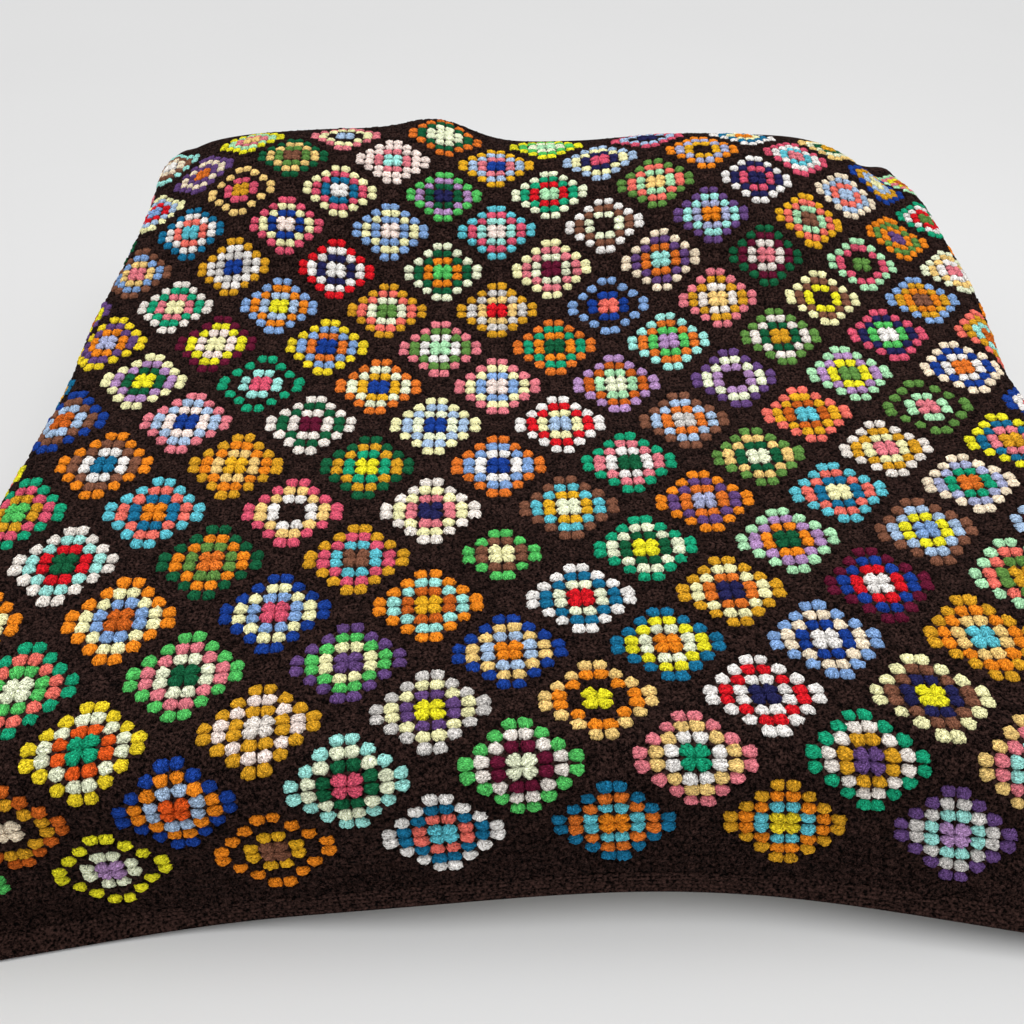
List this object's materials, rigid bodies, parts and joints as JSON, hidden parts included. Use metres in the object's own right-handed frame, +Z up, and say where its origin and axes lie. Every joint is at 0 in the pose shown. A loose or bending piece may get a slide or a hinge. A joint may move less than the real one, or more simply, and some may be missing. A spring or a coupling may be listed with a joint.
{
  "type": "granny square blanket on a mattress with two pillows",
  "caption": "Crocheted granny square blanket, set on point in dark brown, lying over a plain mattress and two pillows and hanging down at the foot and both sides.",
  "frame": {"origin": "centre of the bounding box's base, on the surface that the mattress rests on", "axes": "+X across the bed, +Y from the foot to the pillows, +Z up"},
  "size_m": [1.8529, 1.804, 0.469],
  "materials": {
    "yarn": "crocheted worsted yarn, matt and slightly fuzzy",
    "edging": "tight rows of crochet, matt",
    "ticking": "woven cotton, matt",
    "pillowcase": "woven cotton, matt"
  },
  "bodies": {
    "root": {"squares_panel": "yarn", "stitched_border": "edging", "mattress": "ticking", "pillow_left": "pillowcase", "pillow_right": "pillowcase"}
  },
  "joints": []
}
